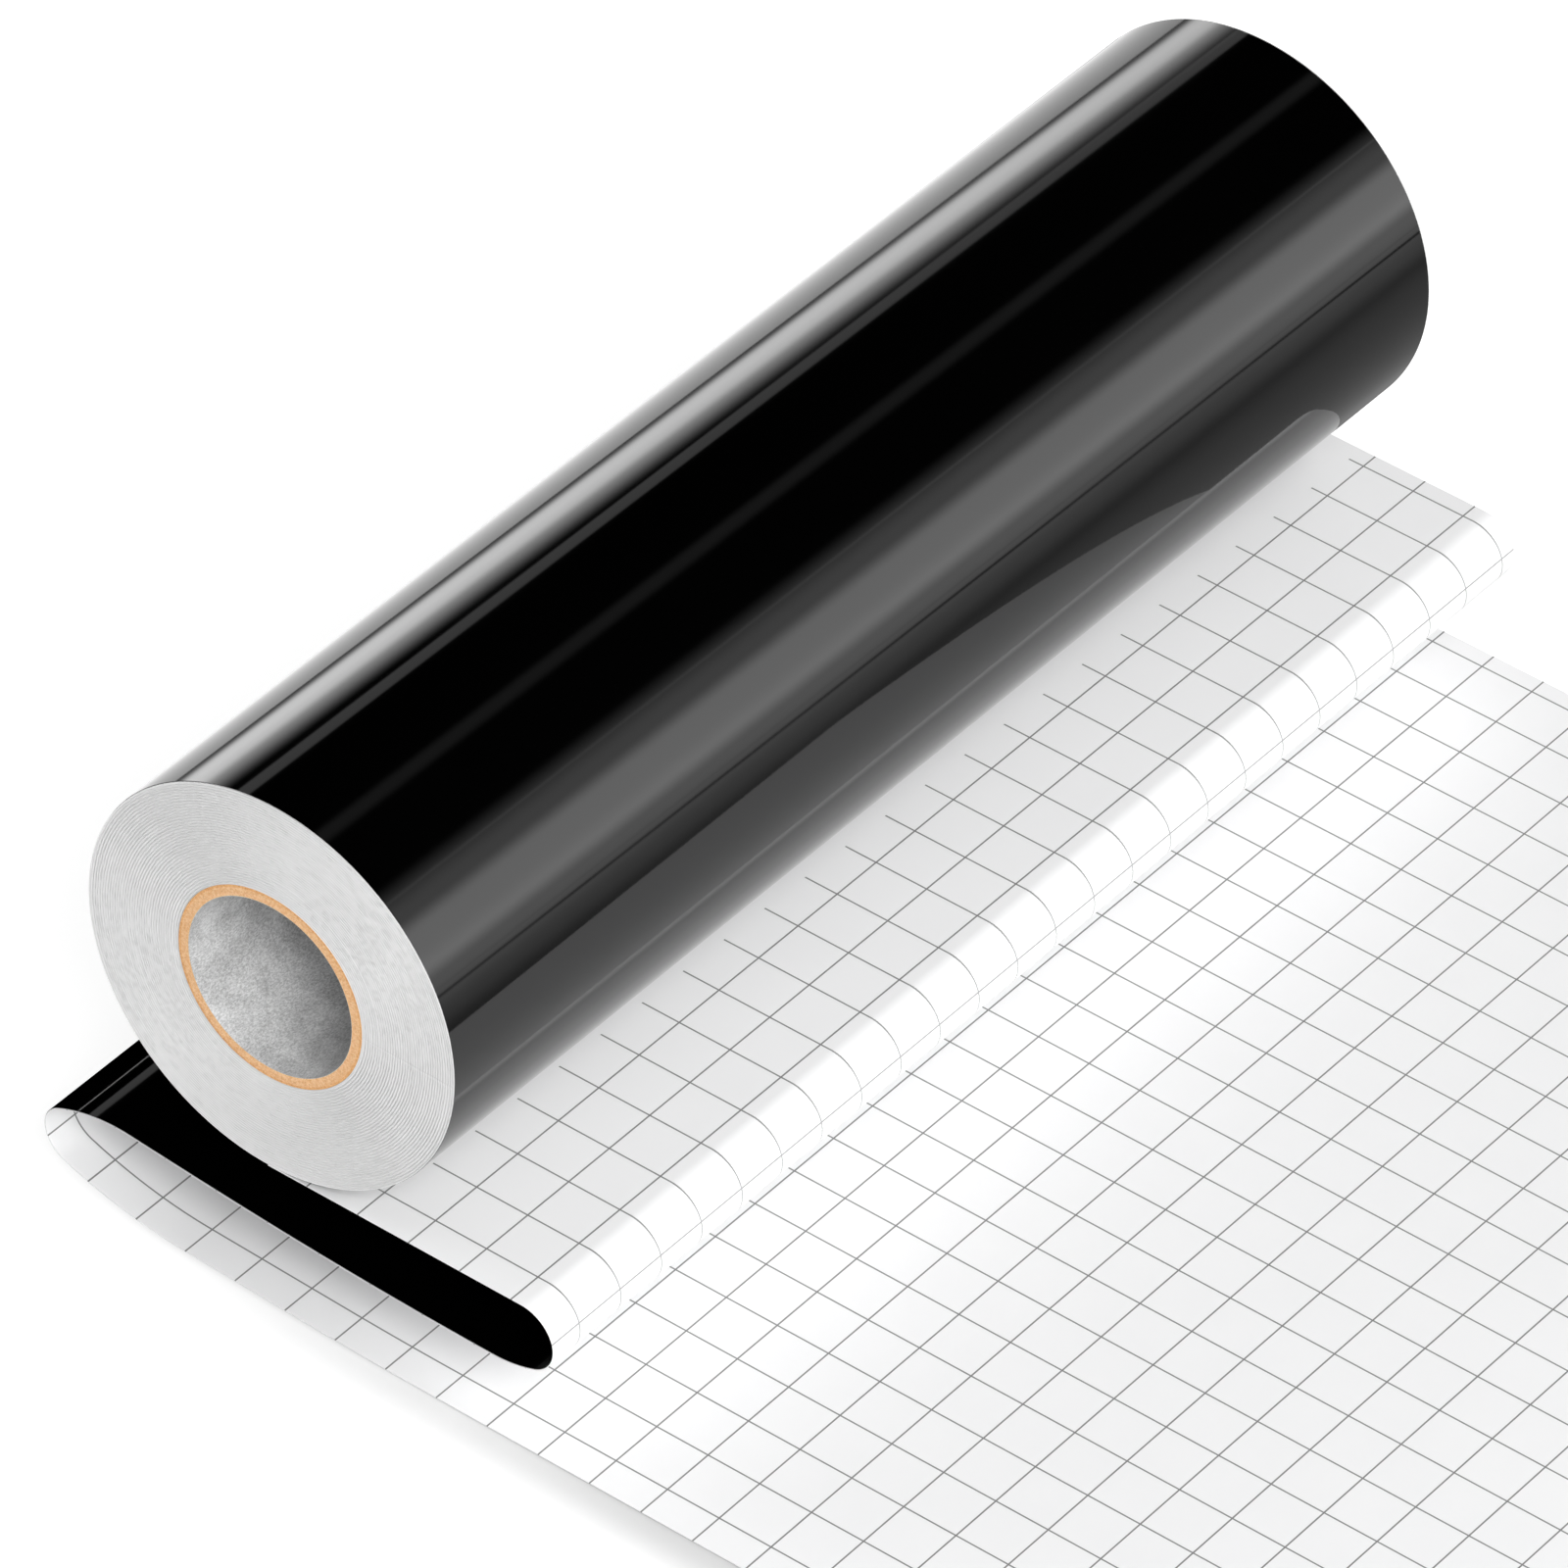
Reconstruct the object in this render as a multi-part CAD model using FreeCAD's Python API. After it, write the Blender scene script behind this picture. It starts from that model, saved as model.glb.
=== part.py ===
import FreeCAD, Part
import math
import os

# A 12 inch roll of gloss sign vinyl, wound film side out on a spiral-wound paperboard core. The loose
# end of the web is pulled out from under the roll, folded back on itself twice, and runs out along the
# surface that everything rests on.
#
# Frame: the origin is the centre of the core's bore, half way along it. +Y runs along the bore, +X is
# the way the loose tail runs out, and +Z is up. All sizes are in millimetres.

# The web, from the outside of the roll inwards: film, adhesive, release liner.
WEB_WIDTH = 304.8
FILM = 0.08
ADHESIVE = 0.03
LINER = 0.14
WEB = FILM + ADHESIVE + LINER

# The core: one grey inner ply, the body plies, and one kraft outer ply.
BORE_RADIUS = 19.5
PLY = 0.48
BODY_PLIES = 3
CORE_RADIUS = BORE_RADIUS + (BODY_PLIES + 2) * PLY

# The patch of tape at mid-width that holds the web's inner end to the core.
TAPE = 0.05
TAPE_WIDTH = 48.0
TAPE_ARC = 65.0

# The wound roll, and the running gap between it and the web that it lies on.
ROLL_RADIUS = 43.7
ROLL_GAP = 0.05

# The loose tail. Heights are above the surface, reaches are along +X from the roll's axis.
TOP_RUN_HEIGHT = 34.7
LIFT_LINE = 120.0
TAIL_REACH = 262.0

# The fold, from the line where the web leaves the roll: the length of each stretch along the film's
# face, and the angle that it turns through in degrees, positive to the left of the way it goes.
FOLD = (
    (60.5, 0.0),    # top run
    (4.0, -30.0),   # front curl
    (8.0, -60.0),
    (8.0, -68.0),
    (10.0, -22.0),
    (60.0, -4.0),   # middle run, back under the roll
    (28.0, -1.0),
    (18.0, 30.0),   # back curl
    (7.0, 68.0),
    (9.0, 66.0),
    (30.0, 19.0),
    (34.0, 0.0),    # slope down to the surface
)

# The folded film is made in slices that each turn no further than this.
SLICE_TURN = 40.0

SURFACE_Z = -(TOP_RUN_HEIGHT + WEB + ROLL_GAP + ROLL_RADIUS)
AXIS = FreeCAD.Vector(0, 1, 0)


class Stretch:
    """One straight or evenly curved stretch of the web, as its film face runs in the X-Z plane."""

    def __init__(self, x, z, heading, length, turn):
        self.x = x
        self.z = z
        self.heading = heading
        self.length = length
        self.turn = turn

    def point(self, share, side):
        """The point at this share of the stretch, side mm to the left of the film's face."""
        start = math.radians(self.heading)
        angle = start + math.radians(self.turn) * share
        if self.turn:
            radius = self.length / math.radians(self.turn)
            x = self.x + radius * (math.sin(angle) - math.sin(start))
            z = self.z - radius * (math.cos(angle) - math.cos(start))
        else:
            x = self.x + self.length * share * math.cos(start)
            z = self.z + self.length * share * math.sin(start)
        return FreeCAD.Vector(x - side * math.sin(angle), -WEB_WIDTH / 2, z + side * math.cos(angle))

    def edge(self, side):
        """The line or arc that runs side mm to the left of the film's face."""
        first = self.point(0, side)
        last = self.point(1, side)
        if self.turn:
            return Part.Arc(first, self.point(0.5, side), last).toShape()
        return Part.LineSegment(first, last).toShape()

    def slices(self):
        """The same stretch as shorter ones that each turn by SLICE_TURN at most."""
        count = max(1, math.ceil(abs(self.turn) / SLICE_TURN))
        found = []
        for number in range(count):
            start = self.point(number / count, 0)
            heading = self.heading + self.turn * number / count
            found.append(Stretch(start.x, start.z, heading, self.length / count, self.turn / count))
        return found


def folded_stretches():
    """The tail from the roll to the lift line: the fold, an easing arc down to the surface, a flat."""
    found = []
    x = 0.0
    z = SURFACE_Z + TOP_RUN_HEIGHT
    heading = 0.0
    for length, turn in FOLD:
        stretch = Stretch(x, z, heading, length, turn)
        found.append(stretch)
        end = stretch.point(1, 0)
        x = end.x
        z = end.z
        heading += turn
    slope = math.radians(-heading)
    easing_radius = (z - SURFACE_Z) / (1 - math.cos(slope))
    easing = Stretch(x, z, heading, easing_radius * slope, -heading)
    found.append(easing)
    x = easing.point(1, 0).x
    found.append(Stretch(x, SURFACE_Z, 0.0, LIFT_LINE - x, 0.0))
    return found


def web_layer(stretches, low, high):
    """A solid of the web's full width, between two distances from the film's face."""
    edges = [stretch.edge(low) for stretch in stretches]
    edges += [stretch.edge(high) for stretch in stretches]
    first = stretches[0]
    last = stretches[-1]
    edges.append(Part.LineSegment(first.point(0, low), first.point(0, high)).toShape())
    edges.append(Part.LineSegment(last.point(1, low), last.point(1, high)).toShape())
    outline = Part.Wire(Part.__sortEdges__(edges))
    return Part.Face(outline).extrude(AXIS * WEB_WIDTH)


def tube(inner, outer, length=WEB_WIDTH, arc=360.0):
    """A round tube about the roll's axis, or the stretch of one that arc degrees of it makes."""
    start = FreeCAD.Vector(0, -length / 2, 0)
    outside = Part.makeCylinder(outer, length, start, AXIS, arc)
    inside = Part.makeCylinder(inner, length, start, AXIS)
    return outside.cut(inside)


def core_parts():
    """The plies of the core, from the bore outwards."""
    names = ["core_inner_ply"]
    names += ["core_body_ply_%d" % number for number in range(1, BODY_PLIES + 1)]
    names.append("core_outer_ply")
    parts = {}
    for number, name in enumerate(names):
        inner = BORE_RADIUS + number * PLY
        parts[name] = tube(inner, inner + PLY)
    return parts


def roll_parts():
    """What is wound on the core: the start tape, the inner turns, and the layers of the last turn."""
    film_inside = ROLL_RADIUS - FILM
    adhesive_inside = film_inside - ADHESIVE
    liner_inside = adhesive_inside - LINER
    return {
        "start_tape": tube(CORE_RADIUS, CORE_RADIUS + TAPE, TAPE_WIDTH, TAPE_ARC),
        "wound_web": tube(CORE_RADIUS + TAPE, liner_inside),
        "outer_turn_liner": tube(liner_inside, adhesive_inside),
        "outer_turn_adhesive": tube(adhesive_inside, film_inside),
        "outer_turn_film": tube(film_inside, ROLL_RADIUS),
    }


def tail_parts():
    """The layers of the loose tail: folded up to the lift line, and flat from there to its cut end."""
    folded = folded_stretches()
    free = [Stretch(LIFT_LINE, SURFACE_Z, 0.0, TAIL_REACH - LIFT_LINE, 0.0)]
    slices = [piece for stretch in folded for piece in stretch.slices()]
    print("flat length of the folded part: %.1f mm" % sum(stretch.length for stretch in folded))
    print("flat length of the free end: %.1f mm" % free[0].length)
    return {
        "tail_film": Part.makeCompound([web_layer([piece], 0.0, FILM) for piece in slices]),
        "tail_adhesive": web_layer(folded, FILM, FILM + ADHESIVE),
        "tail_liner": web_layer(folded, FILM + ADHESIVE, WEB),
        "free_end_film": web_layer(free, 0.0, FILM),
        "free_end_adhesive": web_layer(free, FILM, FILM + ADHESIVE),
        "free_end_liner": web_layer(free, FILM + ADHESIVE, WEB),
    }


os.makedirs("parts", exist_ok=True)
for group in (core_parts(), roll_parts(), tail_parts()):
    for node, shape in group.items():
        shape.exportStep("parts/%s.step" % node)
        print("%-20s %2d solids %10.0f mm3" % (node, len(shape.Solids), shape.Volume))
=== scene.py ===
import math

import bpy
import numpy as np
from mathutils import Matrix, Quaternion, Vector


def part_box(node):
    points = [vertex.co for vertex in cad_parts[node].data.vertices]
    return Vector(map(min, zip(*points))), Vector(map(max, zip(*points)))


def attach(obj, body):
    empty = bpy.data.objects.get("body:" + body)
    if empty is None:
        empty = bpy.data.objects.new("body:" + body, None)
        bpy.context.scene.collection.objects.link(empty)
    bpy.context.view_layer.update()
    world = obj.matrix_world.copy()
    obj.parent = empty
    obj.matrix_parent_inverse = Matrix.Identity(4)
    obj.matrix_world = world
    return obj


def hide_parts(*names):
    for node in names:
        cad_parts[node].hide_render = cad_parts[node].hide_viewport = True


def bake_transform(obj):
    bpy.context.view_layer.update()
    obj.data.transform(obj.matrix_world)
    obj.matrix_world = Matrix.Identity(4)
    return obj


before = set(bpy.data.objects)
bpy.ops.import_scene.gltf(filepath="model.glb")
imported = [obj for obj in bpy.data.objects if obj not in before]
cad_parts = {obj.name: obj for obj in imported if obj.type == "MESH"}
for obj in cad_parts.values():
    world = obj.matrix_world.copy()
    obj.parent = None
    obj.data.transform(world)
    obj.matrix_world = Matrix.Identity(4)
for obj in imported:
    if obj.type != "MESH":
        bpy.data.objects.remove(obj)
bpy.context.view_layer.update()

# A 12 inch roll of gloss black sign vinyl, film side out on a paperboard core, resting on its own loose
# tail. The tail is folded back on itself twice and shows the gridded face of its release liner.
# Everything is in metres in the CAD frame: +Y along the core's bore, +X the way the tail runs out, +Z up.

MM = 0.001

# Sizes that the frame gives.
WEB_LOW, WEB_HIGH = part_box("outer_turn_film")
WEB_WIDTH = WEB_HIGH.y - WEB_LOW.y
ROLL_RADIUS = WEB_HIGH.z
LINER_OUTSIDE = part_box("outer_turn_liner")[1].z
WOUND_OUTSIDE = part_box("wound_web")[1].z
ADHESIVE_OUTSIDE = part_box("outer_turn_adhesive")[1].z
SURFACE_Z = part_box("tail_film")[0].z
TAIL_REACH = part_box("free_end_film")[1].x
LIFT_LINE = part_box("free_end_film")[0].x

# The core's plies, and the tape between the core and the web.
BORE_RADIUS = 19.5 * MM
PLY = 0.48 * MM
BODY_PLIES = 3
CORE_RADIUS = BORE_RADIUS + (BODY_PLIES + 2) * PLY
TAPE = 0.05 * MM

# The grey paper that lines the bore, as part of the inner ply.
LINING = 0.06 * MM

# The web's layers, from the outside of the roll inwards.
FILM = 0.08 * MM
ADHESIVE = 0.03 * MM
LINER = 0.14 * MM
WEB = FILM + ADHESIVE + LINER

# How far the film stops short of the liner at each edge of the web: along the tail, and on the roll.
FILM_SHORT = 0.12 * MM
ROLL_FILM_SHORT = 0.3 * MM

# The fold, from the line where the web leaves the roll: each stretch's length along the film's face in
# millimetres and the angle it turns through in degrees, positive to the left of the way it goes.
TOP_RUN_HEIGHT = 34.7 * MM
FOLD = (
    (60.5, 0.0),    # top run
    (4.0, -30.0),   # front curl
    (8.0, -60.0),
    (8.0, -68.0),
    (10.0, -22.0),
    (60.0, -4.0),   # middle run, back under the roll
    (28.0, -1.0),
    (18.0, 30.0),   # back curl
    (7.0, 68.0),
    (9.0, 66.0),
    (30.0, 19.0),
    (34.0, 0.0),    # slope down to the surface
)
BEND_START = LIFT_LINE - 5 * MM
BEND_END = LIFT_LINE + 30 * MM

# The cutting grid printed on the liner.
GRID_PITCH = 12.2 * MM
FIRST_CROSS_LINE = 9.4 * MM
FIRST_LONG_LINE = -144.46 * MM
LINE_WIDTH = 0.34 * MM
BLANK_LENGTH = 26.6 * MM
BLANK_SKEW = 0.0245
PRINTED_MARGIN = 15 * MM

# How far the print lags behind its even pitch once past the middle run.
PRINT_SLIP = 1.8 * MM
SLIP_START = 92 * MM
SLIP_END = 176 * MM

# Where the print fades along the front curl as a painted highlight, and how much of the ink still shows
# there.
GLARE_START = 63 * MM
GLARE_MIDDLE = 74 * MM
GLARE_END = 92 * MM
GLARE_INK = 0.75

LINER_ROUGHNESS = 0.42
LINER_IOR = 1.4


# ---------------------------------------------------------------- camera

CAMERA_PLACE = Vector((1.2523, -1.6931, 1.7192))
CAMERA_AIM = Vector((-0.0188, 0.0303, -0.0787))
CAMERA_LENS = 326.3
CAMERA_ROLL = math.radians(2.35)


def make_camera():
    """A long lens from the near right, high up."""
    data = bpy.data.cameras.new("camera")
    data.lens = CAMERA_LENS
    data.sensor_width = 36
    data.clip_end = 100
    camera = bpy.data.objects.new("camera", data)
    bpy.context.scene.collection.objects.link(camera)
    aim = (CAMERA_AIM - CAMERA_PLACE).to_track_quat("-Z", "Y")
    camera.rotation_mode = "QUATERNION"
    camera.rotation_quaternion = aim @ Quaternion((0, 0, 1), CAMERA_ROLL)
    camera.location = CAMERA_PLACE
    bpy.context.scene.camera = camera
    bpy.context.scene.view_settings.view_transform = "Standard"


# ---------------------------------------------------------------- shader helpers


class Nodes:
    """Makes and joins shader nodes in one tree."""

    def __init__(self, tree):
        self.tree = tree

    def add(self, kind, inputs=None, **settings):
        node = self.tree.nodes.new(kind)
        for name, value in settings.items():
            setattr(node, name, value)
        for name, value in (inputs or {}).items():
            self.feed(node.inputs[name], value)
        return node

    def feed(self, socket, value):
        if isinstance(value, bpy.types.NodeSocket):
            self.tree.links.new(value, socket)
        else:
            socket.default_value = value

    def math(self, operation, *values):
        node = self.add("ShaderNodeMath", operation=operation)
        for socket, value in zip(node.inputs, values):
            self.feed(socket, value)
        return node.outputs[0]

    def ramp(self, value, low, high, at_low=0.0, at_high=1.0):
        """A smooth step from at_low to at_high as value goes from low to high."""
        inputs = {"Value": value, "From Min": low, "From Max": high, "To Min": at_low, "To Max": at_high}
        return self.add("ShaderNodeMapRange", inputs, interpolation_type="SMOOTHSTEP").outputs[0]

    def noise(self, vector, scale, detail=2.0, roughness=0.5):
        inputs = {"Vector": vector, "Scale": scale, "Detail": detail, "Roughness": roughness}
        return self.add("ShaderNodeTexNoise", inputs).outputs["Fac"]

    def mix(self, share, first, second):
        node = self.add("ShaderNodeMix", data_type="RGBA")
        self.feed(node.inputs[0], share)
        for socket, colour in ((node.inputs[6], first), (node.inputs[7], second)):
            self.feed(socket, colour)
        return node.outputs[2]

    def stretched(self, scale):
        """Object coordinates in metres, with each axis multiplied by its scale."""
        place = self.add("ShaderNodeTexCoord").outputs["Object"]
        return self.add("ShaderNodeMapping", {"Vector": place, "Scale": scale}).outputs[0]

    def attribute(self, name):
        return self.add("ShaderNodeAttribute", attribute_name=name).outputs["Fac"]


def grey(value):
    return (value, value, value, 1.0)


def new_material(name, roughness, base=(0.8, 0.8, 0.8, 1.0), ior=1.45):
    material = bpy.data.materials.new(name)
    material.use_nodes = True
    surface = material.node_tree.nodes["Principled BSDF"]
    surface.inputs["Base Color"].default_value = base
    surface.inputs["Roughness"].default_value = roughness
    surface.inputs["IOR"].default_value = ior
    return material, Nodes(material.node_tree), surface


def add_bump(nodes, surface, height, distance, painted_glare_ink=1.0):
    bump = nodes.add("ShaderNodeBump", {"Height": height, "Distance": distance, "Strength": painted_glare_ink})
    nodes.feed(surface.inputs["Normal"], bump.outputs[0])


# ---------------------------------------------------------------- materials


def film_material():
    """Gloss black vinyl: a deep black with a slightly uneven shine."""
    material, nodes, surface = new_material("gloss_black_film", 0.05, ior=1.47)
    place = nodes.stretched((1, 1, 1))
    cloud = nodes.noise(place, scale=14.0)
    nodes.feed(surface.inputs["Base Color"], nodes.mix(cloud, grey(0.0002), grey(0.0006)))
    nodes.feed(surface.inputs["Roughness"], nodes.ramp(cloud, 0.3, 0.7, 0.045, 0.06))
    return material


def grid_ink(nodes, along, across):
    """How much ink of the cutting grid shows at each place, faded along the front curl as a painted
    highlight.
    """
    lines = []
    for value, first in ((along, FIRST_CROSS_LINE), (across, FIRST_LONG_LINE)):
        shifted = nodes.math("SUBTRACT", value, first)
        distance = nodes.math("PINGPONG", shifted, GRID_PITCH / 2)
        lines.append(nodes.ramp(distance, 0.35 * LINE_WIDTH, 0.65 * LINE_WIDTH, 1.0, 0.0))
    line = nodes.math("MAXIMUM", *lines)
    blank_end = nodes.math("MULTIPLY_ADD", across, BLANK_SKEW, BLANK_LENGTH)
    past_blank = nodes.math("GREATER_THAN", along, blank_end)
    in_margin = nodes.math("LESS_THAN", across, PRINTED_MARGIN - WEB_WIDTH / 2)
    printed = nodes.math("MAXIMUM", past_blank, in_margin)
    # Painted highlight: the ink fades down to GLARE_INK across the front curl.
    fade_in = nodes.ramp(along, GLARE_START, GLARE_MIDDLE, 1.0, 0.0)
    fade_out = nodes.ramp(along, GLARE_MIDDLE, GLARE_END, 0.0, 1.0)
    painted_glare_ink = nodes.math("MULTIPLY_ADD", nodes.math("ADD", fade_in, fade_out), 1 - GLARE_INK, GLARE_INK)
    return nodes.math("MULTIPLY", nodes.math("MULTIPLY", line, printed), painted_glare_ink)


def liner_material():
    """Coated white release paper with a fine grey cutting grid, which its mirror images don't show, faded on
    the front curl by a painted highlight.
    """
    material, nodes, surface = new_material("gridded_liner", LINER_ROUGHNESS, ior=LINER_IOR)
    ink = grid_ink(nodes, nodes.attribute("along"), nodes.attribute("across"))
    cloud = nodes.noise(nodes.stretched((1, 1, 1)), scale=60.0, detail=3.0)
    paper = nodes.mix(cloud, (0.86, 0.86, 0.865, 1), (0.89, 0.89, 0.893, 1))
    nodes.feed(surface.inputs["Base Color"], nodes.mix(ink, paper, grey(0.21)))
    inputs = {"Base Color": paper, "Roughness": LINER_ROUGHNESS, "IOR": LINER_IOR}
    unprinted = nodes.add("ShaderNodeBsdfPrincipled", inputs)
    path = nodes.add("ShaderNodeLightPath")
    seen = nodes.add("ShaderNodeMixShader", {0: path.outputs["Is Glossy Ray"]})
    nodes.feed(seen.inputs[1], surface.outputs[0])
    nodes.feed(seen.inputs[2], unprinted.outputs[0])
    nodes.feed(material.node_tree.nodes["Material Output"].inputs["Surface"], seen.outputs[0])
    return material


def plain_liner_material():
    """The same release paper where no print shows: the turns' edges."""
    material, nodes, surface = new_material("liner_edge", 0.5, ior=LINER_IOR)
    cloud = nodes.noise(nodes.stretched((1, 1, 1)), scale=900.0)
    nodes.feed(surface.inputs["Base Color"], nodes.mix(cloud, grey(0.84), grey(0.92)))
    return material


def adhesive_material():
    """Clear adhesive, which reads as a cloudy grey in a thin edge."""
    material, nodes, surface = new_material("clear_adhesive", 0.4)
    cloud = nodes.noise(nodes.stretched((1, 1, 1)), scale=300.0)
    nodes.feed(surface.inputs["Base Color"], nodes.mix(cloud, grey(0.5), grey(0.62)))
    return material


def wound_material():
    """The cut edges of the wound turns: light grey, finely streaked round the roll."""
    material, nodes, surface = new_material("wound_edges", 0.55, ior=1.4)
    turn = nodes.attribute("turn")
    layer = nodes.ramp(nodes.math("PINGPONG", turn, 1.0), 0.55, 0.95)
    place = nodes.stretched((1, 0.02, 1))
    patch = nodes.ramp(nodes.noise(place, scale=45.0, detail=2.0), 0.35, 0.65, 0.10, 0.55)
    cloud = nodes.noise(place, scale=500.0, detail=3.0)
    pale = nodes.mix(cloud, grey(0.745), grey(0.77))
    darker = nodes.math("MULTIPLY", layer, patch)
    nodes.feed(surface.inputs["Base Color"], nodes.mix(darker, pale, grey(0.46)))
    add_bump(nodes, surface, cloud, 0.01 * MM)
    return material


# Pale, dark and speck colours of the kraft wrap and of the board under it.
WRAP_COLOURS = ((0.97, 0.56, 0.26, 1), (0.79, 0.38, 0.15, 1), (0.43, 0.16, 0.06, 1))
BOARD_COLOURS = ((1.0, 0.66, 0.38, 1), (0.86, 0.47, 0.22, 1), (0.50, 0.21, 0.08, 1))


def board_colour(nodes, colours):
    """Tan board with darker specks and short fibres: its colour, and the fleck that shapes its surface."""
    pale, dark, speck = colours
    place = nodes.stretched((1, 1, 1))
    fleck = nodes.ramp(nodes.noise(place, scale=2300.0, detail=3.0, roughness=0.75), 0.36, 0.64)
    dot = nodes.ramp(nodes.noise(place, scale=3400.0, detail=1.0), 0.58, 0.68)
    colour = nodes.mix(fleck, pale, dark)
    return nodes.mix(nodes.math("MULTIPLY", dot, 0.4), colour, speck), fleck


def board_material(name, colours):
    """Matt, finely flecked paperboard."""
    material, nodes, surface = new_material(name, 0.85, ior=1.35)
    colour, fleck = board_colour(nodes, colours)
    nodes.feed(surface.inputs["Base Color"], colour)
    add_bump(nodes, surface, fleck, 0.05 * MM)
    return material


def bore_material():
    """Grey recycled paper on the bore, mottled with fibres, on tan board that shows at its ends."""
    material, nodes, surface = new_material("grey_bore_board", 0.9, ior=1.35)
    place = nodes.stretched((1, 1, 1))
    fibre = nodes.noise(nodes.stretched((1, 0.5, 1)), scale=3000.0, detail=3.0, roughness=0.8)
    blotch = nodes.noise(place, scale=160.0, detail=4.0, roughness=0.6)
    grain = nodes.ramp(fibre, 0.32, 0.68)
    tone = nodes.math("MULTIPLY_ADD", nodes.ramp(blotch, 0.3, 0.7), 0.35, nodes.math("MULTIPLY", grain, 0.65))
    lining = nodes.mix(tone, grey(0.34), grey(0.9))
    from_axis = nodes.add("ShaderNodeVectorMath", {0: nodes.stretched((1, 0, 1))}, operation="LENGTH")
    cut_edge = nodes.math("GREATER_THAN", from_axis.outputs["Value"], BORE_RADIUS + LINING)
    board, fleck = board_colour(nodes, BOARD_COLOURS)
    nodes.feed(surface.inputs["Base Color"], nodes.mix(cut_edge, lining, board))
    add_bump(nodes, surface, fibre, 0.08 * MM)
    return material


def tape_material():
    """Pale satin tape."""
    material, nodes, surface = new_material("start_tape", 0.3)
    cloud = nodes.noise(nodes.stretched((1, 1, 1)), scale=200.0)
    nodes.feed(surface.inputs["Base Color"], nodes.mix(cloud, (0.78, 0.72, 0.58, 1), (0.84, 0.79, 0.66, 1)))
    return material


# ---------------------------------------------------------------- meshes


SHARP_ANGLE = math.radians(40)


def new_piece(name, points, faces, material, attributes=None):
    """A smooth piece with sharp corners, from its points, its faces and its named point values."""
    mesh = bpy.data.meshes.new(name)
    mesh.from_pydata([tuple(point) for point in points], [], faces)
    for label, values in (attributes or {}).items():
        layer = mesh.attributes.new(label, "FLOAT", "POINT")
        layer.data.foreach_set("value", np.asarray(values, np.float32))
    mesh.shade_smooth()
    mesh.set_sharp_from_angle(angle=SHARP_ANGLE)
    mesh.materials.append(material)
    mesh.validate()
    piece = bpy.data.objects.new(name, mesh)
    bpy.context.scene.collection.objects.link(piece)
    return piece


def revolved(name, section, segments, material, labels=None):
    """A closed ring about the roll's axis. section(angle) gives the loop of (radius, y) points there."""
    loops = []
    values = {label: [] for label in (labels or {})}
    for number in range(segments):
        angle = 2 * math.pi * number / segments
        loop = section(angle)
        radius = loop[:, 0]
        loops.append(np.column_stack((radius * math.cos(angle), loop[:, 1], radius * math.sin(angle))))
        for label, value in (labels or {}).items():
            values[label].append(value(angle, radius))
    size = len(loops[0])
    faces = []
    for number in range(segments):
        here = number * size
        after = ((number + 1) % segments) * size
        for step in range(size):
            other = (step + 1) % size
            faces.append((here + step, here + other, after + other, after + step))
    joined = {label: np.concatenate(value) for label, value in values.items()}
    return new_piece(name, np.concatenate(loops), faces, material, joined)


def ring(name, inner, outer, material, segments=256, short=0.0):
    """A plain tube about the roll's axis, short of the web's edges by this much."""
    half = WEB_WIDTH / 2 - short
    loop = np.array(((inner, -half), (inner, half), (outer, half), (outer, -half)))
    return revolved(name, lambda angle: loop, segments, material)


# ---------------------------------------------------------------- the roll

# The wound turns: their pitch, how far every other one stands back at the ends, how much that drifts from
# turn to turn, how they waver on their way round, and the width over which the relief fades out at the core
# and at the outermost turn.
TURN_PITCH = 0.295 * MM
RELIEF = 0.22 * MM
DRIFT = 0.4 * RELIEF
DRIFT_POINTS = 80
RIPPLE = 0.035 * MM
RIPPLE_WAVES = 6
FIRST_WAVE = 23
WAVE_STEP = 14
WAVE_PHASES = 6.28
LONGEST_WAVE = 0.7
RELIEF_FADE = 0.3 * MM
SAMPLES_PER_PAIR = 4
ROUND_SEGMENTS = 256
FILM_SEGMENTS = 384


def wound_turns(material):
    """The wound web. Its turns stand out by slightly different amounts at both ends, along one spiral."""
    inner = CORE_RADIUS + TAPE
    pair = 2 * TURN_PITCH
    rings = round((WOUND_OUTSIDE - inner) / pair * SAMPLES_PER_PAIR)
    radius = np.linspace(inner, WOUND_OUTSIDE, rings + 1)
    half = WEB_WIDTH / 2
    random = np.random.default_rng(7)
    drift = random.random(DRIFT_POINTS)
    wave = random.random((RIPPLE_WAVES, 2))

    def turn_number(angle, radii):
        """How many turns lie inside each radius. The turns waver a little on their way round."""
        ripple = 0.0
        for number, (phase, spread) in enumerate(wave):
            way_round = math.sin((FIRST_WAVE + WAVE_STEP * number) * angle + WAVE_PHASES * phase)
            ripple = ripple + RIPPLE * way_round * np.sin(radii / MM * (LONGEST_WAVE + spread))
        return (radii + ripple - inner) / TURN_PITCH - angle / math.pi

    def relief(angle):
        """How far the edges lie inside the roll's ends."""
        pairs = turn_number(angle, radius) / 2
        depth = RELIEF * (0.5 + 0.5 * np.cos(2 * math.pi * pairs))
        slow = DRIFT * np.interp(pairs % (DRIFT_POINTS - 1), np.arange(DRIFT_POINTS), drift)
        edge = np.minimum(radius - inner, WOUND_OUTSIDE - radius)
        return (depth + slow) * np.clip(edge / RELIEF_FADE, 0, 1)

    def section(angle):
        near = relief(angle)
        far = relief(-angle)
        front = np.column_stack((radius, -half + near))
        back = np.column_stack((radius, half - far))
        return np.concatenate((front[::-1], back))

    return revolved("wound_turns", section, ROUND_SEGMENTS, material, {"turn": turn_number})


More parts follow.
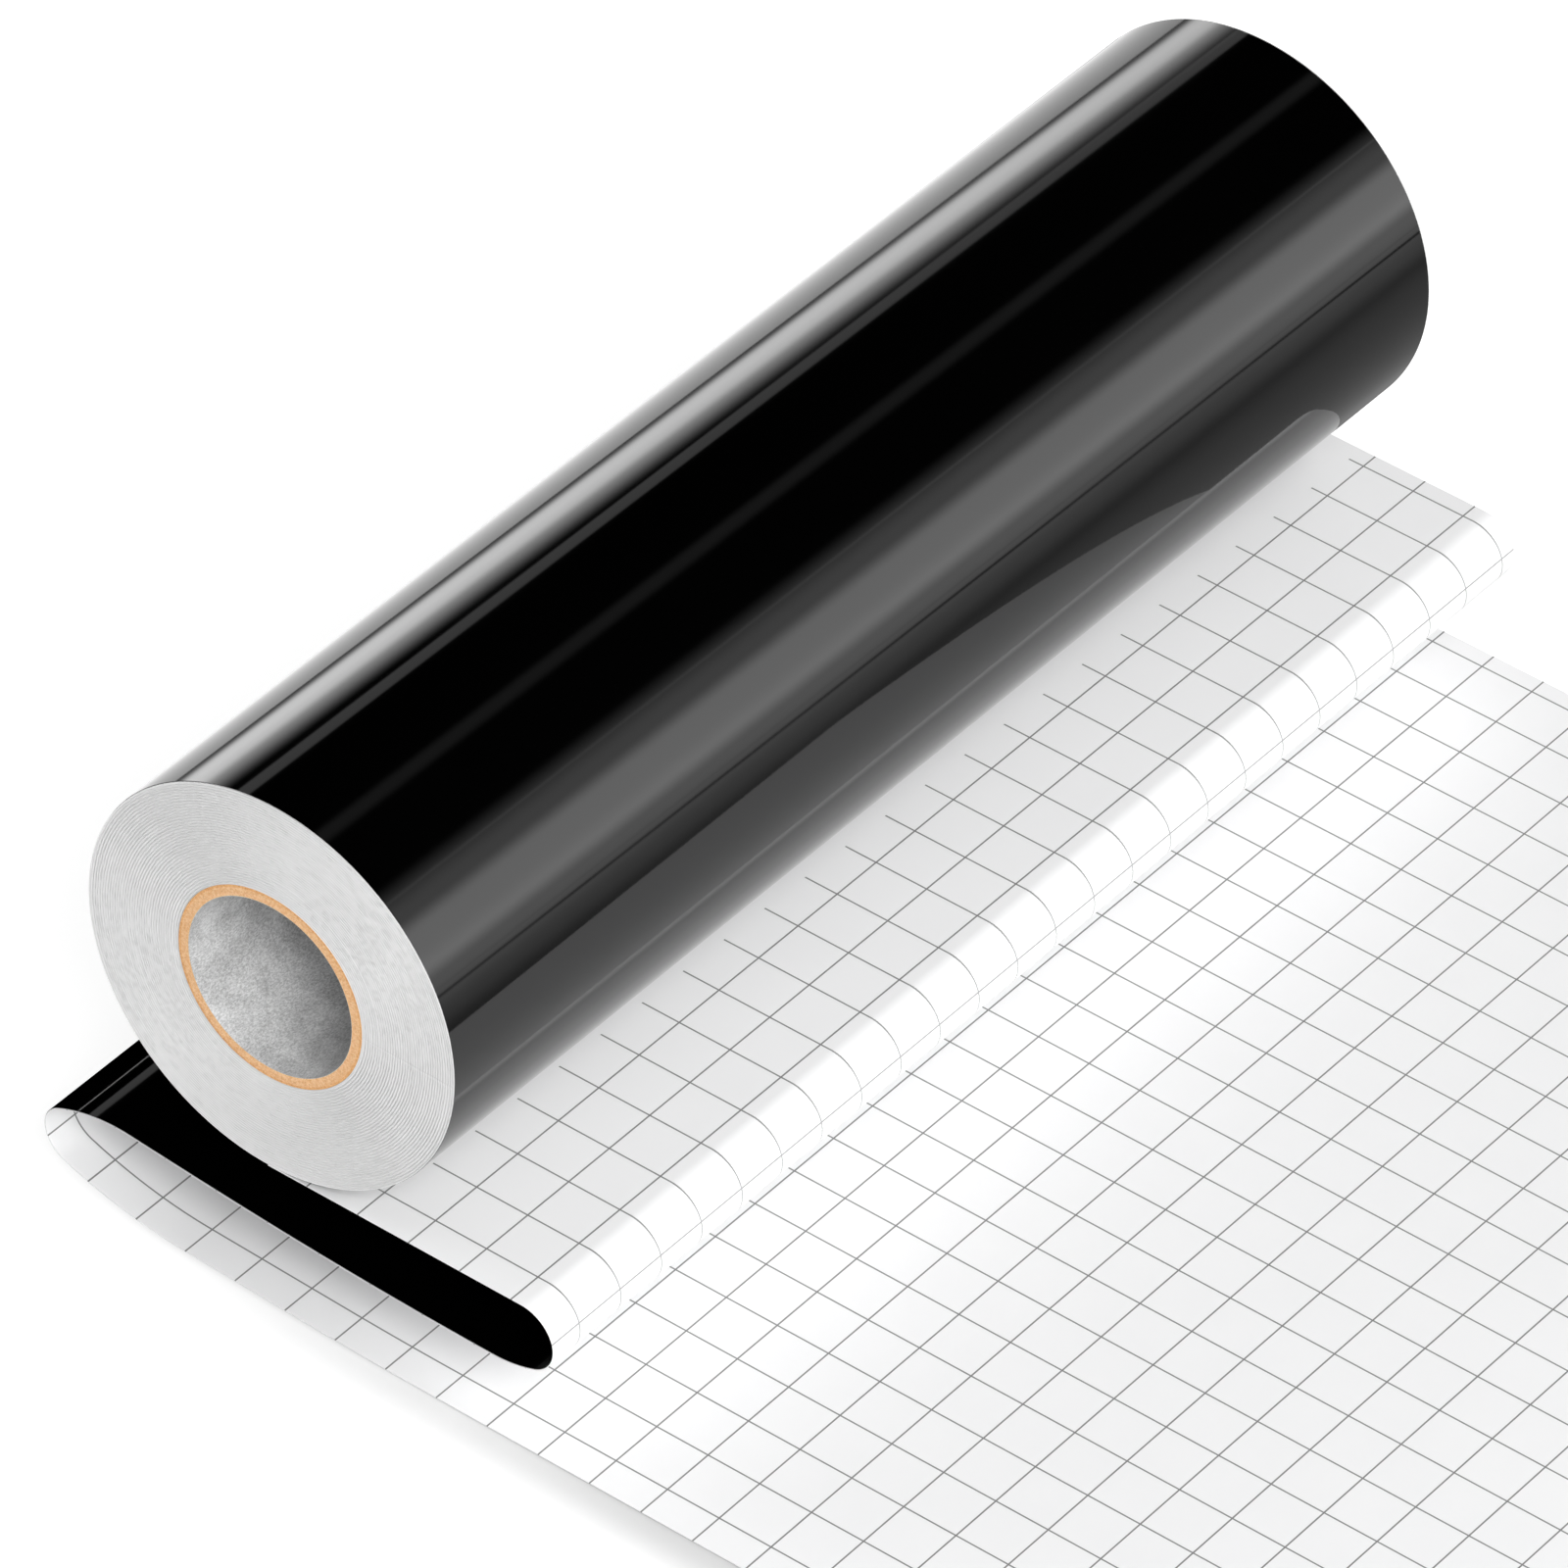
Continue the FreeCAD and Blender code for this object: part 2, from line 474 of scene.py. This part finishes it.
def make_roll():
    """The core's plies, the wound turns and the three layers of the outermost turn."""
    kraft = board_material("kraft_wrap", WRAP_COLOURS)
    board = board_material("core_board", BOARD_COLOURS)

    def keep(piece, node):
        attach(piece, "roll")
        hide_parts(node)

    radius = BORE_RADIUS
    keep(ring("core_bore_lining", radius, radius + PLY, bore_material()), "core_inner_ply")
    for number in range(1, BODY_PLIES + 1):
        radius += PLY
        layer = ring("core_board_layer_%d" % number, radius, radius + PLY, board)
        keep(layer, "core_body_ply_%d" % number)
    radius += PLY
    keep(ring("core_kraft_wrap", radius, radius + PLY, kraft), "core_outer_ply")
    keep(wound_turns(wound_material()), "wound_web")
    keep(ring("outer_liner_turn", WOUND_OUTSIDE, LINER_OUTSIDE, plain_liner_material()),
         "outer_turn_liner")
    keep(ring("outer_adhesive_turn", LINER_OUTSIDE, ADHESIVE_OUTSIDE, adhesive_material()),
         "outer_turn_adhesive")
    keep(ring("outer_film_turn", ADHESIVE_OUTSIDE, ROLL_RADIUS, film_material(), FILM_SEGMENTS,
              ROLL_FILM_SHORT),
         "outer_turn_film")
    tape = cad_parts["start_tape"]
    tape.data.materials.clear()
    tape.data.materials.append(tape_material())


# ---------------------------------------------------------------- the loose tail


def fold_line():
    """Points down the tail's film face as rows of x, z, heading and length so far, from the roll outwards."""
    rows = []
    x = 0.0
    z = SURFACE_Z + TOP_RUN_HEIGHT
    heading = 0.0
    travelled = 0.0

    def run(length, turn, steps):
        nonlocal x, z, heading, travelled
        step_length = length / steps
        step_turn = turn / steps
        chord = step_length
        if turn:
            chord = step_length * math.sin(step_turn / 2) / (step_turn / 2)
        for _ in range(steps):
            rows.append((x, z, heading, travelled))
            x += chord * math.cos(heading + step_turn / 2)
            z += chord * math.sin(heading + step_turn / 2)
            heading += step_turn
            travelled += step_length

    for length, turn in FOLD:
        steps = max(4, round(abs(turn) / 2), round(length / 3))
        run(length * MM, math.radians(turn), steps)
    slope = -heading
    easing_radius = (z - SURFACE_Z) / (1 - math.cos(slope))
    run(easing_radius * slope, slope, 12)
    z = SURFACE_Z
    heading = 0.0
    run(BEND_START - x, 0.0, 8)
    run(BEND_END - x, 0.0, 40)
    run(TAIL_REACH - x, 0.0, 24)
    rows.append((x, z, heading, travelled))
    return np.array(rows)


def web_sheet(name, line, low, high, short, material):
    """One layer of the tail as a thin closed sheet, low to high above the film's face."""
    half = WEB_WIDTH / 2 - short
    rows = len(line)
    across = np.tile((-half, half), rows)
    sides = []
    for height in (low, high):
        x = line[:, 0] - height * np.sin(line[:, 2])
        z = line[:, 1] + height * np.cos(line[:, 2])
        sides.append(np.column_stack((np.repeat(x, 2), across, np.repeat(z, 2))))
    over = 2 * rows
    faces = []
    for near in range(0, over - 2, 2):
        far = near + 1
        faces.append((over + near, over + near + 2, over + far + 2, over + far))
        faces.append((near, far, far + 2, near + 2))
        faces.append((near, near + 2, over + near + 2, over + near))
        faces.append((over + far, over + far + 2, far + 2, far))
    for near, order in ((0, -1), (over - 2, 1)):
        faces.append((near, near + 1, over + near + 1, over + near)[::order])
    past_fold = np.clip((line[:, 3] - SLIP_START) / (SLIP_END - SLIP_START), 0, 1)
    values = {
        "along": np.tile(np.repeat(line[:, 3] - PRINT_SLIP * past_fold, 2), 2),
        "across": np.tile(across, 2),
    }
    return new_piece(name, np.concatenate(sides), faces, material, values)


def make_tail():
    """The loose film, adhesive and liner, each one sheet from the roll to the cut end."""
    line = fold_line()
    layers = (
        ("film", 0.0, FILM, FILM_SHORT, film_material(), "vinyl_film"),
        ("adhesive", FILM, FILM + ADHESIVE, 0.0, adhesive_material(), "adhesive"),
        ("liner", FILM + ADHESIVE, WEB, 0.0, liner_material(), "release_liner"),
    )
    for layer, low, high, short, material, slot in layers:
        piece = web_sheet("loose_%s_sheet" % layer, line, low, high, short, material)
        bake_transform(piece)
        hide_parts("tail_" + layer, "free_end_" + layer)


# ---------------------------------------------------------------- studio

# The floor, the glow that it gives off, and the glow that only the camera sees on top of that.
FLOOR_SIZE = 30.0
FLOOR_DROP = 0.2 * MM
FLOOR_GLOW = 0.3
SEEN_GLOW = 0.56

# The painted shadow on the floor beside the tail's near edge: how strong and how wide it is, and the places
# along +X where it begins, is full, starts to fade and ends.
CONTACT_SHADE = 0.58
CONTACT_SHADE_WIDTH = 17 * MM
SHADE_BEGINS = -80 * MM
SHADE_FULL = 100 * MM
SHADE_FADES = 138 * MM
SHADE_ENDS = 178 * MM


def painted_contact_shadow(nodes):
    """The painted soft shadow beside the tail's near edge: 1 at the edge, and 0 away from it and at its two
    ends.
    """
    place = nodes.add("ShaderNodeTexCoord").outputs["Object"]
    part = nodes.add("ShaderNodeSeparateXYZ", {"Vector": place})
    away = nodes.math("ABSOLUTE", nodes.math("ADD", part.outputs["Y"], WEB_WIDTH / 2))
    beside = nodes.ramp(away, 0.0, CONTACT_SHADE_WIDTH, 1.0, 0.0)
    begins = nodes.ramp(part.outputs["X"], SHADE_BEGINS, SHADE_FULL)
    ends = nodes.ramp(part.outputs["X"], SHADE_FADES, SHADE_ENDS, 1.0, 0.0)
    return nodes.math("MULTIPLY", beside, nodes.math("MULTIPLY", begins, ends))


def make_floor():
    """A pale floor just below the object, with a glow that keeps it white, less a painted shadow by the
    tail's near edge.
    """
    half = FLOOR_SIZE / 2
    height = SURFACE_Z - FLOOR_DROP
    mesh = bpy.data.meshes.new("floor")
    corners = [(-half, -half, height), (half, -half, height), (half, half, height), (-half, half, height)]
    mesh.from_pydata(corners, [], [(0, 1, 2, 3)])
    material, nodes, surface = new_material("pale_floor", 1.0, grey(0.40))
    surface.inputs["Specular IOR Level"].default_value = 0.0
    surface.inputs["Emission Color"].default_value = grey(1.0)
    path = nodes.add("ShaderNodeLightPath")
    # The camera's glow, dimmed by the painted shadow beside the tail's near edge.
    seen = nodes.math("MULTIPLY_ADD", painted_contact_shadow(nodes), -CONTACT_SHADE, SEEN_GLOW)
    glow = nodes.math("MULTIPLY_ADD", path.outputs["Is Camera Ray"], seen, FLOOR_GLOW)
    nodes.feed(surface.inputs["Emission Strength"], glow)
    mesh.materials.append(material)
    floor = bpy.data.objects.new("floor", mesh)
    bpy.context.scene.collection.objects.link(floor)
    floor.visible_glossy = False


# What stands beside the fold for the gloss alone to see, as strips along the roll: the x and the height
# above the surface of one edge and of the other, in millimetres.
BLACK_CARDS = (
    (-85.0, 0.1, -85.0, 46.7),     # tall card behind the fold
    (-85.0, 0.1, -40.0, 0.1),      # card lying in front of it
    (-48.0, 37.0, -48.0, 67.0),    # card beside the roll
)
LIGHT_STRIP = (-84.0, 36.2, -84.0, 36.8)
LIGHT_STRIP_GLOW = 2.5
STRIP_HALF_LENGTH = 1.0


def unlit_material(name, glow):
    """A black that reflects nothing, with a glow of its own."""
    material, _, surface = new_material(name, 1.0, grey(0.0))
    surface.inputs["Specular IOR Level"].default_value = 0.0
    surface.inputs["Emission Color"].default_value = grey(1.0)
    surface.inputs["Emission Strength"].default_value = glow
    return material


def make_flags():
    """Black cards and a thin strip light beside the fold, which only the gloss sees."""
    corners = []
    faces = []
    for x, height, other_x, other_height in BLACK_CARDS + (LIGHT_STRIP,):
        first = len(corners)
        z = SURFACE_Z + height * MM
        other_z = SURFACE_Z + other_height * MM
        corners.append((x * MM, -STRIP_HALF_LENGTH, z))
        corners.append((x * MM, STRIP_HALF_LENGTH, z))
        corners.append((other_x * MM, STRIP_HALF_LENGTH, other_z))
        corners.append((other_x * MM, -STRIP_HALF_LENGTH, other_z))
        faces.append(tuple(range(first, first + 4)))
    mesh = bpy.data.meshes.new("black_flags")
    mesh.from_pydata(corners, [], faces)
    mesh.polygons[-1].material_index = 1
    mesh.materials.append(unlit_material("black_card", 0.0))
    mesh.materials.append(unlit_material("light_strip", LIGHT_STRIP_GLOW))
    flags = bpy.data.objects.new("black_flags", mesh)
    bpy.context.scene.collection.objects.link(flags)
    for kind in ("camera", "diffuse", "shadow", "transmission"):
        setattr(flags, "visible_" + kind, False)


# Soft square lights: name, place, side length in metres and power in watts.
AREA_LIGHTS = (
    ("key_soft_box", (1.5, -1.3, 1.5), 1.2, 48.0),
    ("right_soft_box", (2.0, 0.2, 1.2), 1.2, 33.0),
    ("front_soft_box", (0.4, -2.2, 0.6), 1.0, 5.0),
    ("back_soft_box", (0.6, 2.0, 1.2), 1.2, 12.5),
    ("top_soft_box", (0.2, 0.0, 2.3), 1.4, 1.5),
    ("low_right_soft_box", (2.4, -0.55, 0.06), 0.3, 4.0),
    ("left_soft_box", (-2.0, -0.5, 0.75), 0.9, 10.0),
)


def make_lights():
    """Area lights that face the object and leave no mirror image in the gloss."""
    for name, place, size, power in AREA_LIGHTS:
        data = bpy.data.lights.new(name, "AREA")
        data.shape = "RECTANGLE"
        data.size = size
        data.size_y = size
        data.energy = power
        light = bpy.data.objects.new(name, data)
        bpy.context.scene.collection.objects.link(light)
        light.location = place
        light.rotation_mode = "QUATERNION"
        light.rotation_quaternion = (-Vector(place)).to_track_quat("-Z", "Y")
        light.visible_glossy = False
        light.visible_camera = False


# Soft boxes along the roll as its gloss sees them: middle and half width in degrees about the roll's
# axis, up from +X, the width of the soft border, the brightness, and the lean in degrees over a unit of
# the sight line's Y.
SOFT_BOXES = (
    (167.0, 3.0, 17.0, 2.4, 200.0),
    (171.0, 4.5, 7.0, 1.7, 200.0),
    (142.6, 3.0, 1.0, 0.55, 100.0),
    (94.0, 1.0, 5.0, 0.17, 100.0),
    (21.0, 8.0, 9.0, 1.8, 80.0),
    (22.0, 18.0, 18.0, 1.1, 80.0),
    (-2.0, 9.0, 14.0, 0.6, 80.0),
    (48.4, 0.3, 0.5, 0.35, 80.0),
    (-1.7, 0.3, 0.4, -0.2, 120.0),
    (-5.5, 0.5, 0.4, -0.85, 120.0),
    (-70.0, 30.0, 40.0, 0.4, 0.0),
    (-151.0, 23.7, 0.8, 1.3, 200.0),
)
LEAN_MIDDLE = 0.62
LEAN_RANGE = (0.4, 0.85)

# The even light from all round, from just below the horizon to high above it.
LOW_SKY = 0.01
HIGH_SKY = 0.03


def make_world():
    """White all round for the camera and for soft light, and dark with long soft boxes for gloss."""
    world = bpy.data.worlds.new("studio")
    bpy.context.scene.world = world
    world.use_nodes = True
    nodes = Nodes(world.node_tree)
    world.node_tree.nodes.clear()
    direction = nodes.add("ShaderNodeTexCoord").outputs["Generated"]
    part = nodes.add("ShaderNodeSeparateXYZ", {"Vector": direction})
    angle = nodes.math("ARCTAN2", part.outputs["Z"], part.outputs["X"])
    least, most = LEAN_RANGE
    sideways = nodes.math("MINIMUM", nodes.math("MAXIMUM", part.outputs["Y"], least), most)
    slant = nodes.math("SUBTRACT", sideways, LEAN_MIDDLE)
    total = 0.0
    for middle, half, border, brightness, lean in SOFT_BOXES:
        leaned = nodes.math("MULTIPLY_ADD", slant, math.radians(lean), angle)
        away = nodes.math("SUBTRACT", leaned, math.radians(middle))
        distance = nodes.math("PINGPONG", away, math.pi)
        inside = math.radians(half)
        box = nodes.ramp(distance, inside, inside + math.radians(border), brightness, 0.0)
        total = nodes.math("ADD", box, total)
    gloss = nodes.add("ShaderNodeBackground", {"Color": grey(1.0), "Strength": total})
    sky = nodes.ramp(part.outputs["Z"], -0.1, 0.9, LOW_SKY, HIGH_SKY)
    plain = nodes.add("ShaderNodeBackground", {"Color": grey(1.0), "Strength": sky})
    seen = nodes.add("ShaderNodeBackground", {"Color": grey(1.0), "Strength": 1.0})
    path = nodes.add("ShaderNodeLightPath")
    soft = nodes.add("ShaderNodeMixShader", {0: path.outputs["Is Glossy Ray"]})
    nodes.feed(soft.inputs[1], plain.outputs[0])
    nodes.feed(soft.inputs[2], gloss.outputs[0])
    final = nodes.add("ShaderNodeMixShader", {0: path.outputs["Is Camera Ray"]})
    nodes.feed(final.inputs[1], soft.outputs[0])
    nodes.feed(final.inputs[2], seen.outputs[0])
    output = nodes.add("ShaderNodeOutputWorld")
    nodes.feed(output.inputs["Surface"], final.outputs[0])


make_camera()
make_floor()
make_world()
make_flags()
make_lights()
make_roll()
make_tail()
